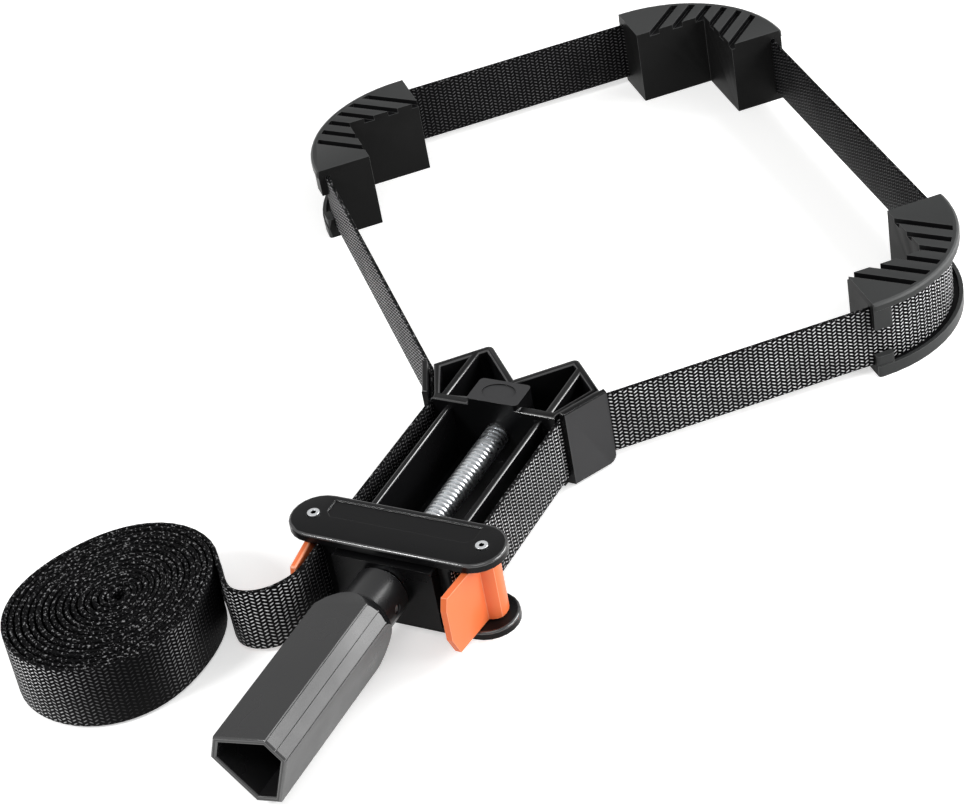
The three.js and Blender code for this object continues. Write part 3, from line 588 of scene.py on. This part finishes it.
def buildRoll():
    route = []
    lows = []
    paintedLight = []
    count = round(roll["loops"] * roll["stepsPerLoop"])
    middle = Vector((*roll["centre"], 0))
    for k in range(count + 1):
        turn = k / roll["stepsPerLoop"]
        angle = math.radians(roll["startAngle"]) + 2 * math.pi * turn
        leaned = angle - math.radians(roll["ovalAngle"])
        squeeze = 1 + roll["oval"] * math.cos(2 * leaned) + roll["egg"] * math.cos(3 * leaned)
        radius = (roll["radius"] - roll["pitch"] * turn) * squeeze
        drifted = middle + Vector((*roll["drift"], 0)) * (turn / roll["loops"])
        ease = min(1, turn / 0.3)
        slack = 0.04 * ease * math.sin(1.7 * turn + 0.6) * math.sin(3 * angle + 0.9 * turn)
        route.append(drifted + (radius + slack) * Vector((math.cos(angle), math.sin(angle), 0)))
        lows.append(0.25 + 0.25 * ease * (1 + math.sin(2.3 * turn + math.sin(angle))))
        # painted pools of light on the outer loop, over the roll's low painted shade level
        paintedPool = 0
        for amount, place, spread in roll["paintedLightPools"]:
            away = (math.degrees(angle) - place + 180) % 360 - 180
            paintedPool += amount * math.exp(-(away / spread) ** 2)
        paintedLight.append(roll["paintedLight"] + (paintedPool if turn < 1.2 else 0))
    points = [Vector((strap["carriageFrontX"], strap["sideY"], 0))]
    points += [Vector((*point, 0)) for point in roll["tail"]]
    points.append(route[0])
    tail = smoothRoute(points, 8)
    lead = [0]
    for before, after in zip(tail, tail[1:]):
        lead.append(lead[-1] + (after - before).length)
    startFall = roll["tailFallsFrom"]
    tailLows = []
    for way in lead:
        share = min(max((way - startFall) / (lead[-1] - startFall), 0), 1)
        tailLows.append(strap["low"] + (lows[0] - strap["low"]) * share * share * (3 - 2 * share))
    # painted light and shade along the tail
    tailPaintedLight = [stepped(roll["tailPaintedLight"], way) for way in lead]
    piece, along = layStrap("bandSpareRoll", tail[:-1] + route, webbing, lows=tailLows[:-1] + lows,
                            thickness=roll["thickness"], paintedLightAt=tailPaintedLight[:-1] + paintedLight)
    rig.replaces(piece, "strap_grip_left", "strap_tail", "strap_roll")
    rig.ride(piece, "carriage")
    print("spare strap", round(along), "mm long")


# a value read from pairs of place and value, straight between them
def stepped(pairs, place):
    for (start, low), (end, high) in zip(pairs, pairs[1:]):
        if place <= end:
            return low + (high - low) * max(place - start, 0) / (end - start)
    return pairs[-1][1]


# a Catmull-Rom curve through the points
def smoothRoute(points, steps):
    route = []
    for i in range(len(points) - 1):
        a = points[max(i - 1, 0)]
        b = points[i]
        c = points[i + 1]
        d = points[min(i + 2, len(points) - 1)]
        for k in range(steps):
            t = k / steps
            route.append(0.5 * (2 * b + (c - a) * t + (2 * a - 5 * b + 4 * c - d) * t * t
                                + (3 * b - a - 3 * c + d) * t ** 3))
    route.append(points[-1])
    return route


buildRoll()


# injection-moulded nylon with a fine spark-eroded skin
def mouldedNylon(name, colour, paleColour, roughness, grain=0.45, shine=0.25):
    material, tree, shader = startMaterial(name, {"IOR": 1.53, "Specular IOR Level": shine})
    place = addNode(tree, "ShaderNodeTexCoord")
    cloud = addNode(tree, "ShaderNodeTexNoise", {}, {
        "Vector": place.outputs["Object"], "Scale": 1 / mm(28), "Detail": 3, "Roughness": 0.55})
    skin = addNode(tree, "ShaderNodeTexNoise", {}, {
        "Vector": place.outputs["Object"], "Scale": 1 / mm(grain), "Detail": 2, "Roughness": 0.6})
    tint = addNode(tree, "ShaderNodeMix", {"data_type": "RGBA"}, {
        "Factor": cloud.outputs[0], 6: fromHex(colour), 7: fromHex(paleColour)})
    gloss = addNode(tree, "ShaderNodeMapRange", {}, {
        0: cloud.outputs[0], 1: 0.3, 2: 0.7, 3: roughness - 0.06, 4: roughness + 0.06})
    bump = addNode(tree, "ShaderNodeBump", {}, {
        "Height": skin.outputs[0], "Strength": 0.25, "Distance": mm(0.05)})
    tree.links.new(tint.outputs[2], shader.inputs["Base Color"])
    tree.links.new(gloss.outputs[0], shader.inputs["Roughness"])
    tree.links.new(bump.outputs[0], shader.inputs["Normal"])
    return material


# bright zinc plate on turned steel
def zincPlate(name, colour):
    material, tree, shader = startMaterial(name, {"Base Color": fromHex(colour), "Metallic": 1.0})
    place = addNode(tree, "ShaderNodeTexCoord")
    cloud = addNode(tree, "ShaderNodeTexNoise", {}, {
        "Vector": place.outputs["Object"], "Scale": 1 / mm(1.5), "Detail": 4, "Roughness": 0.6})
    gloss = addNode(tree, "ShaderNodeMapRange", {}, {
        0: cloud.outputs[0], 1: 0.3, 2: 0.7, 3: 0.22, 4: 0.42})
    bump = addNode(tree, "ShaderNodeBump", {}, {
        "Height": cloud.outputs[0], "Strength": 0.2, "Distance": mm(0.05)})
    tree.links.new(gloss.outputs[0], shader.inputs["Roughness"])
    tree.links.new(bump.outputs[0], shader.inputs["Normal"])
    return material


# one moulding has several shades: they are set to match the light and dark faces
# that the photograph shows, and the real plastic may be one colour all over
blackNylon = mouldedNylon("black moulded nylon", "#0a0a0b", "#101011", 0.3, shine=0.12)
# painted light: a lighter grey for faces that look lit, the top of the boss and the outer faces of the strap guides
paintedLightNylon = mouldedNylon("black moulded nylon, rubbed grey", "#373738", "#3d3d3e", 0.5, shine=0.1)
# painted highlight: rounded edges take a slightly paler colour and a raised shine, so that they show light lines
edgeHighlightNylon = mouldedNylon("black moulded nylon, highlighted edges", "#101011", "#18181a", 0.25, shine=1.0)
# painted shade for the hollow eye of each rivet
paintedShadeNylon = mouldedNylon("black moulded nylon, shadowed", "#050505", "#090909", 0.7, shine=0.05)
jawNylon = mouldedNylon("dark grey moulded nylon", "#272828", "#343535", 0.38, shine=0.16)
# painted highlight: the jaws' rounded edges and upper lip are paler and shinier than their flats
jawEdgeHighlightNylon = mouldedNylon("dark grey moulded nylon, highlighted edges",
                            "#3a3b3b", "#464747", 0.34, shine=0.35)
# painted shade: the jaws' inner and end walls are darker, as they stand in shade
jawWallShadeNylon = mouldedNylon("dark grey moulded nylon, inner walls", "#121212", "#191919", 0.45, shine=0.07)
# painted shade: the jaws' groove faces and the ledge beneath the strap
shadedNylon = mouldedNylon("dark grey moulded nylon, shadowed", "#0e0e0f", "#151516", 0.5, shine=0.06)
handleNylon = mouldedNylon("grey-black moulded handle nylon", "#131314", "#19191a", 0.3, shine=0.45)
orangeAbs = mouldedNylon("orange moulded ABS", "#f1743f", "#f37d4a", 0.4, shine=0.3)
# painted highlight: the levers' rounded edges are paler orange
orangeEdgeHighlightAbs = mouldedNylon("orange moulded ABS, worn edges", "#f99a70", "#fba984", 0.35, shine=0.4)
zinc = zincPlate("bright zinc-plated steel", "#d6d8da")
# painted shade: a dark zinc for the roots of the thread
rootShadeZinc = zincPlate("zinc-plated steel, dark thread root", "#1c1c1e")
print("materials made")


# a CAD node's own shape, cleaned of its triangles
def takeNode(node, name, materials):
    data = frame["nodes"][node].data.copy()
    data.name = name
    piece = bpy.data.objects.new(name, data)
    bpy.context.scene.collection.objects.link(piece)
    data.materials.clear()
    for material in materials:
        data.materials.append(material)
    selectOnly(piece)
    bpy.ops.object.mode_set(mode="EDIT")
    bpy.ops.mesh.select_all(action="SELECT")
    bpy.ops.mesh.remove_doubles(threshold=mm(0.005))
    bpy.ops.mesh.dissolve_limited(angle_limit=math.radians(1.5))
    bpy.ops.object.mode_set(mode="OBJECT")
    return piece


# moulded edges that catch the light while the flats stay flat
def roundEdges(piece, width, segments=2, angle=25, edgeSlot=-1):
    selectOnly(piece)
    bpy.ops.object.shade_smooth_by_angle(angle=math.radians(32))
    if width:
        bevel = piece.modifiers.new("mouldedEdge", "BEVEL")
        bevel.limit_method = "ANGLE"
        bevel.angle_limit = math.radians(angle)
        bevel.width = mm(width)
        bevel.segments = segments
        bevel.harden_normals = True
        # the bevel faces take the edgeSlot material where one is given, a painted highlight along the edges
        bevel.material = edgeSlot
        bpy.ops.object.modifier_apply(modifier=bevel.name)


def handOver(piece, body, slotName, *nodes):
    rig.slot(piece, slotName)
    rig.replaces(piece, *nodes)
    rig.ride(piece, body)


# rounds the edges that a test picks, before the general edge bevel
def roundPicked(piece, test, width, segments, edgeSlot=-1):
    selectOnly(piece)
    bpy.ops.object.mode_set(mode="EDIT")
    bpy.ops.mesh.select_mode(type="EDGE")
    bpy.ops.mesh.select_all(action="DESELECT")
    mesh = bmesh.from_edit_mesh(piece.data)
    picked = [edge for edge in mesh.edges if test(edge)]
    for edge in picked:
        edge.select = True
    mesh.select_flush_mode()
    bmesh.update_edit_mesh(piece.data)
    if picked:
        bpy.ops.mesh.bevel(offset=mm(width), segments=segments, affect="EDGES", material=edgeSlot)
    bpy.ops.object.mode_set(mode="OBJECT")
    print(piece.name, len(picked), "edges rounded")


snap = 0.05        # a vertex this near to a level, in mm, lies on it

mainFrame = {
    "edge": 0.4, "paintedLightSlot": 1, "highlightSlot": 2,
    "guideY": 27.5, "guideFoot": 1.2, "guideEnd": (6.9, 36.85), "guideTop": 32,
    "guideCorner": 3, "guideLip": 0.9, "cornerSteps": 6, "cutterDepth": 6.5,
    "railTop": 27.6, "railEdge": 0.7, "railLeast": 20, "wallTop": 30, "wallEdge": 0.5,
    "peakX": 12, "peakLeast": 20, "peakRound": 2.2,
    "bossTop": 32.4, "bossSide": 12, "bossCorner": 1.6, "bossMiddleX": -3.75,
    "bossOval": (4.6, 6.4), "ovalSteps": 32, "bossSink": 0.4,
}


# a solid between two copies of an outline
def solidBetween(name, outline, shift):
    count = len(outline)
    faces = [tuple(range(count)), tuple(reversed(range(count, 2 * count)))]
    faces += [(k, k + count, (k + 1) % count + count, (k + 1) % count) for k in range(count)]
    data = bpy.data.meshes.new(name)
    points = [mm(*point) for point in outline] + [mm(*(point + shift)) for point in outline]
    data.from_pydata(points, [], faces)
    solid = bpy.data.objects.new(name, data)
    bpy.context.scene.collection.objects.link(solid)
    selectOnly(solid)
    bpy.ops.object.mode_set(mode="EDIT")
    bpy.ops.mesh.select_all(action="SELECT")
    bpy.ops.mesh.normals_make_consistent(inside=False)
    bpy.ops.object.mode_set(mode="OBJECT")
    return solid


def cutAway(piece, cutters):
    selectOnly(*cutters)
    bpy.ops.object.join()
    tool = bpy.context.object
    selectOnly(piece)
    cut = piece.modifiers.new("cut", "BOOLEAN")
    cut.operation = "DIFFERENCE"
    cut.solver = "EXACT"
    cut.object = tool
    bpy.ops.object.modifier_apply(modifier=cut.name)
    bpy.data.objects.remove(tool)


# leaves the free lower corner of a strap guide round
def guideCutter(side):
    x, y = mainFrame["guideEnd"]
    radius = mainFrame["guideCorner"]
    steps = mainFrame["cornerSteps"]
    along = Vector((-1, -side, 0)) * slant
    through = Vector((1, -side, 0)) * slant
    corner = Vector((x, side * y, mainFrame["guideFoot"])) - through
    outline = [corner + along * a + Vector((0, 0, b)) for a, b in ((-1, radius), (-1, -1), (radius, -1))]
    for k in range(steps + 1):
        angle = math.radians(90 * k / steps)
        outline.append(corner + along * radius * (1 - math.sin(angle))
                       + Vector((0, 0, radius * (1 - math.cos(angle)))))
    return solidBetween("guideCutter", outline, through * mainFrame["cutterDepth"])


# the shallow oval in the top of the boss
def ovalCutter():
    wide, long = mainFrame["bossOval"]
    low = mainFrame["bossTop"] - mainFrame["bossSink"]
    steps = mainFrame["ovalSteps"]
    outline = [Vector((mainFrame["bossMiddleX"] + wide * math.cos(2 * math.pi * k / steps),
                       long * math.sin(2 * math.pi * k / steps), low)) for k in range(steps)]
    return solidBetween("ovalCutter", outline, Vector((0, 0, 2)))


def buildFrame():
    piece = takeNode("frame", "mainFrame", [blackNylon, paintedLightNylon, edgeHighlightNylon])

    def levelAt(edge, height):
        return all(abs(vert.co.z * 1000 - height) < snap for vert in edge.verts)

    def guideLip(edge):
        return levelAt(edge, mainFrame["guideTop"])

    def wallEdge(edge):
        return levelAt(edge, mainFrame["wallTop"]) and edge.calc_face_angle(0) > math.radians(60)

    def railEdge(edge):
        a, b = (vert.co * 1000 for vert in edge.verts)
        lengthwise = abs(a.y - b.y) < 0.01 and abs(a.x - b.x) > mainFrame["railLeast"]
        return levelAt(edge, mainFrame["railTop"]) and lengthwise

    def bossCorner(edge):
        a, b = (vert.co * 1000 for vert in edge.verts)
        return (a.xy - b.xy).length < 0.01 and abs(max(a.z, b.z) - mainFrame["bossTop"]) < snap

    def peak(edge):
        a, b = (vert.co * 1000 for vert in edge.verts)
        upright = (a.xy - b.xy).length < 0.01 and abs(a.z - b.z) > mainFrame["peakLeast"]
        return upright and a.x > mainFrame["peakX"] and edge.is_convex

    roundPicked(piece, peak, mainFrame["peakRound"], 4)
    roundPicked(piece, bossCorner, mainFrame["bossCorner"], 4)
    roundPicked(piece, guideLip, mainFrame["guideLip"], 3)
    roundPicked(piece, railEdge, mainFrame["railEdge"], 3, mainFrame["highlightSlot"])
    roundPicked(piece, wallEdge, mainFrame["wallEdge"], 2, mainFrame["highlightSlot"])
    cutAway(piece, [guideCutter(-1), guideCutter(1), ovalCutter()])
    selectOnly(piece)
    bpy.ops.object.mode_set(mode="EDIT")
    bpy.ops.mesh.select_mode(type="FACE")
    bpy.ops.mesh.select_all(action="SELECT")
    bpy.ops.mesh.dissolve_limited(angle_limit=math.radians(0.5), delimit={"MATERIAL"})
    bpy.ops.mesh.select_all(action="DESELECT")
    mesh = bmesh.from_edit_mesh(piece.data)
    # painted light: the boss top and the guides' outward faces take the lighter grey
    for face in mesh.faces:
        middle = face.calc_center_median() * 1000
        overBoss = middle.z > mainFrame["bossTop"] - mainFrame["bossSink"] - 0.1
        bossFace = overBoss and face.normal.z > 0.9 and abs(middle.y) < mainFrame["bossSide"]
        outward = face.normal.y * middle.y > 0 and abs(face.normal.z) < 0.2
        if bossFace or (outward and abs(middle.y) > mainFrame["guideY"]):
            face.material_index = mainFrame["paintedLightSlot"]
    bmesh.update_edit_mesh(piece.data)
    bpy.ops.object.mode_set(mode="OBJECT")
    roundEdges(piece, mainFrame["edge"], edgeSlot=mainFrame["highlightSlot"])
    handOver(piece, "base", "body_plastic", "frame")


buildFrame()

cornerJaws = {
    "edge": 0.45, "grooveLow": 29.8, "top": 32, "ledge": 3.2, "corner": 1.3, "flange": (2.8, 5),
    "flangeRadius": 51.2, "lip": 1.1, "wallReach": 41, "recessShadeSlot": 1, "highlightSlot": 2, "wallShadeSlot": 3,
}


def flangeCorner(edge):
    a, b = (vert.co * 1000 for vert in edge.verts)
    least, most = cornerJaws["flange"]
    upright = (a.xy - b.xy).length <= 0.01 and least < abs(a.z - b.z) < most
    return upright and edge.is_convex and edge.calc_face_angle(0) > math.radians(60)


def buildJaws():
    for side in ("left", "far", "right"):
        piece = takeNode(f"jaw_{side}", f"cornerJaw_{side}",
                         [jawNylon, shadedNylon, jawEdgeHighlightNylon, jawWallShadeNylon])

        def upperLip(edge):
            ends = [vert.co * 1000 for vert in edge.verts]
            return all(abs(end.z - cornerJaws["top"]) < snap and abs(
                (end.xy - centre[side].xy).length - cornerJaws["flangeRadius"]) < 0.5 for end in ends)

        roundPicked(piece, flangeCorner, cornerJaws["corner"], 4)
        roundPicked(piece, upperLip, cornerJaws["lip"], 2, cornerJaws["highlightSlot"])
        # painted shade: groove faces and the ledge take the darker recess material
        for face in piece.data.polygons:
            ends = [piece.data.vertices[k].co * 1000 for k in face.vertices]
            low = min(end.z for end in ends)
            high = max(end.z for end in ends)
            inGroove = low > cornerJaws["grooveLow"] - 0.1 and high < cornerJaws["top"] + 0.1
            atTop = low > cornerJaws["top"] - 0.1
            onLedge = max(abs(end.z - cornerJaws["ledge"]) for end in ends) < 0.1
            if (inGroove and not atTop and face.material_index == 0) or onLedge:
                face.material_index = cornerJaws["recessShadeSlot"]
            nearest = min((end.xy - centre[side].xy).length for end in ends)
            # painted shade on the upright walls that face the jaw's centre
            upright = abs(face.normal.z) < 0.2 and low < cornerJaws["grooveLow"] - 1
            if upright and nearest < cornerJaws["wallReach"]:
                face.material_index = cornerJaws["wallShadeSlot"]
        roundEdges(piece, cornerJaws["edge"], edgeSlot=cornerJaws["highlightSlot"])
        handOver(piece, f"jaw_{side}", "jaw_plastic", f"jaw_{side}")


buildJaws()

carriagePlates = {
    "edge": 0.4, "rim": 0.9, "centreX": -82, "endY": 29.4, "endRadius": 11,
    "plates": (("carriage_body", "carriageTop", 32), ("carriage_bottom_plate", "carriageFoot", 3.2)),
}
for node, name, top in carriagePlates["plates"]:
    plate = takeNode(node, name, [blackNylon, edgeHighlightNylon])

    def plateRim(edge):
        for vert in edge.verts:
            x, y, z = vert.co * 1000
            past = max(abs(y) - carriagePlates["endY"], 0)
            away = math.hypot(x - carriagePlates["centreX"], past)
            if abs(z - top) > snap or abs(away - carriagePlates["endRadius"]) > 0.15:
                return False
        return True

    # the plate's rim and edges take the painted highlight material
    roundPicked(plate, plateRim, carriagePlates["rim"], 4, 1)
    roundEdges(plate, carriagePlates["edge"], 2, edgeSlot=1)
    handOver(plate, "carriage", "body_plastic", node)

camLevers = {
    "edge": 0.7, "rivetEdge": 0.2, "pinX": -82, "pinY": 32, "eye": 0.95, "eyeLow": 20, "eyeHigh": 32.2,
}
for side, turn in (("left", 1), ("right", -1)):
    lever = takeNode(f"lever_{side}", f"camLever_{side}", [orangeAbs, orangeEdgeHighlightAbs])
    # its rounded edges take the paler painted highlight
    roundEdges(lever, camLevers["edge"], 3, edgeSlot=1)
    handOver(lever, f"lever_{side}", "lever_plastic", f"lever_{side}")
    rivet = takeNode(f"lever_rivet_{side}", f"leverRivet_{side}", [zinc, paintedShadeNylon])
    pin = Vector((camLevers["pinX"], turn * camLevers["pinY"]))
    # painted shade: the faces in the rivet's eye take the darker material
    for face in rivet.data.polygons:
        inEye = (face.center.xy * 1000 - pin).length < camLevers["eye"]
        atHead = camLevers["eyeLow"] < face.center.z * 1000 < camLevers["eyeHigh"]
        face.material_index = 1 if inEye and atHead else 0
    roundEdges(rivet, camLevers["rivetEdge"])
    handOver(rivet, "carriage", "zinc_steel", f"lever_rivet_{side}")
print("frame, jaws, carriage and levers made")

grip = {
    "edge": 0.6, "rim": 0.8, "axisZ": 18, "rearX": -184.4, "seamEndX": -113, "turn": 12,
    "cutAway": 14.6, "seamWidth": 0.45, "seamDepth": 0.45, "seamPlaces": (-4.35, 0, 4.35),
}


# each cut corner of the handle has three fine seams along it
def buildHandle():
    piece = takeNode("handle", "gripHandle", [handleNylon, edgeHighlightNylon])

    def rearRim(edge):
        return edge.is_convex and all(abs(vert.co.x * 1000 - grip["rearX"]) < snap for vert in edge.verts)

    # the rear rim takes the painted highlight material
    roundPicked(piece, rearRim, grip["rim"], 3, 1)
    roundEdges(piece, grip["edge"], 3)
    cutters = []
    length = grip["seamEndX"] - grip["rearX"] + 2
    for k in range(3):
        angle = math.radians(150 - grip["turn"] + 120 * k)
        out = Vector((0, math.cos(angle), math.sin(angle)))
        along = Vector((0, -math.sin(angle), math.cos(angle)))
        for place in grip["seamPlaces"]:
            middle = Vector((grip["rearX"] - 1 + length / 2, 0, grip["axisZ"]))
            middle += out * (grip["cutAway"] + 1 - grip["seamDepth"]) + along * place
            bpy.ops.object.select_all(action="DESELECT")
            bpy.ops.mesh.primitive_cube_add(size=1, location=mm(*middle), rotation=(angle, 0, 0))
            cutter = bpy.context.object
            cutter.scale = mm(length, 2, grip["seamWidth"])
            cutters.append(cutter)
    cutAway(piece, cutters)
    handOver(piece, "spindle", "handle_plastic", "handle")


buildHandle()

screwThread = {
    "pitch": 2, "crest": 4.5, "root": 3.6, "rearX": -89, "tipX": 0, "axisZ": 18, "steps": 32,
    "shares": ((0, 1), (0.42, 1), (0.56, 0), (0.86, 0), (1, 1)), "journal": 3.6, "journalRearX": -121,
}


# the thread is one pitch of its outline wound along the axis, cut off flat at both ends
def buildScrew():
    turns = math.ceil((screwThread["tipX"] - screwThread["rearX"]) / screwThread["pitch"]) + 3
    start = screwThread["rearX"] - 2 * screwThread["pitch"]
    depth = screwThread["crest"] - screwThread["root"]
    points = [mm(start + share * screwThread["pitch"], 0, screwThread["root"] + depth * high)
              for share, high in screwThread["shares"]]
    data = bpy.data.meshes.new("leadScrewThread")
    data.from_pydata(points, [(k, k + 1) for k in range(len(points) - 1)], [])
    piece = bpy.data.objects.new("leadScrewThread", data)
    bpy.context.scene.collection.objects.link(piece)
    selectOnly(piece)
    wind = piece.modifiers.new("wind", "SCREW")
    wind.axis = "X"
    wind.screw_offset = mm(screwThread["pitch"])
    wind.iterations = turns
    wind.steps = wind.render_steps = screwThread["steps"]
    wind.use_merge_vertices = True
    wind.merge_threshold = mm(0.02)
    bpy.ops.object.modifier_apply(modifier=wind.name)
    bpy.ops.object.mode_set(mode="EDIT")
    bpy.ops.mesh.select_all(action="SELECT")
    bpy.ops.mesh.remove_doubles(threshold=mm(0.02))
    for x, way in ((screwThread["rearX"], -1), (screwThread["tipX"], 1)):
        bpy.ops.mesh.select_all(action="SELECT")
        bpy.ops.mesh.bisect(plane_co=mm(x, 0, 0), plane_no=(way, 0, 0), use_fill=True, clear_outer=True)
    bpy.ops.mesh.select_all(action="SELECT")
    bpy.ops.mesh.normals_make_consistent(inside=False)
    bpy.ops.transform.translate(value=mm(0, 0, screwThread["axisZ"]))
    bpy.ops.object.mode_set(mode="OBJECT")
    bpy.ops.object.select_all(action="DESELECT")
    length = screwThread["rearX"] + 0.5 - screwThread["journalRearX"]
    bpy.ops.mesh.primitive_cylinder_add(
        vertices=32, radius=mm(screwThread["journal"]), depth=mm(length), rotation=(0, math.pi / 2, 0),
        location=mm(screwThread["journalRearX"] + length / 2, 0, screwThread["axisZ"]))
    journal = bpy.context.object
    selectOnly(piece, journal)
    bpy.ops.object.join()
    piece.name = "leadScrewRod"
    piece.data.materials.clear()
    piece.data.materials.append(zinc)
    piece.data.materials.append(rootShadeZinc)
    # painted shade: faces in the thread's root take the dark zinc
    for face in piece.data.polygons:
        away = math.hypot(face.center.y, face.center.z - mm(screwThread["axisZ"])) * 1000
        inRoot = away < screwThread["root"] + 0.1 and face.center.x > mm(screwThread["rearX"] + 0.5)
        face.material_index = 1 if inRoot else 0
    bpy.ops.object.shade_smooth_by_angle(angle=math.radians(28))
    handOver(piece, "spindle", "zinc_steel", "lead_screw")
    print("screw has", len(piece.data.polygons), "faces")


buildScrew()

for node, name, body in (("nut", "screwNut", "carriage"), ("thrust_washer", "thrustWasher", "spindle"),
                         ("retaining_ring", "retainingRing", "spindle"),
                         ("handle_cross_pin", "handlePin", "spindle")):
    small = takeNode(node, name, [zinc])
    roundEdges(small, 0.15)
    handOver(small, body, "zinc_steel", node)
print("handle, screw and small metal pieces made")

low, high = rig.bounds()
with open("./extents.json", "w") as out:
    json.dump({"cad": [list(cadBox[0]), list(cadBox[1])], "visual": [list(low), list(high)]}, out)
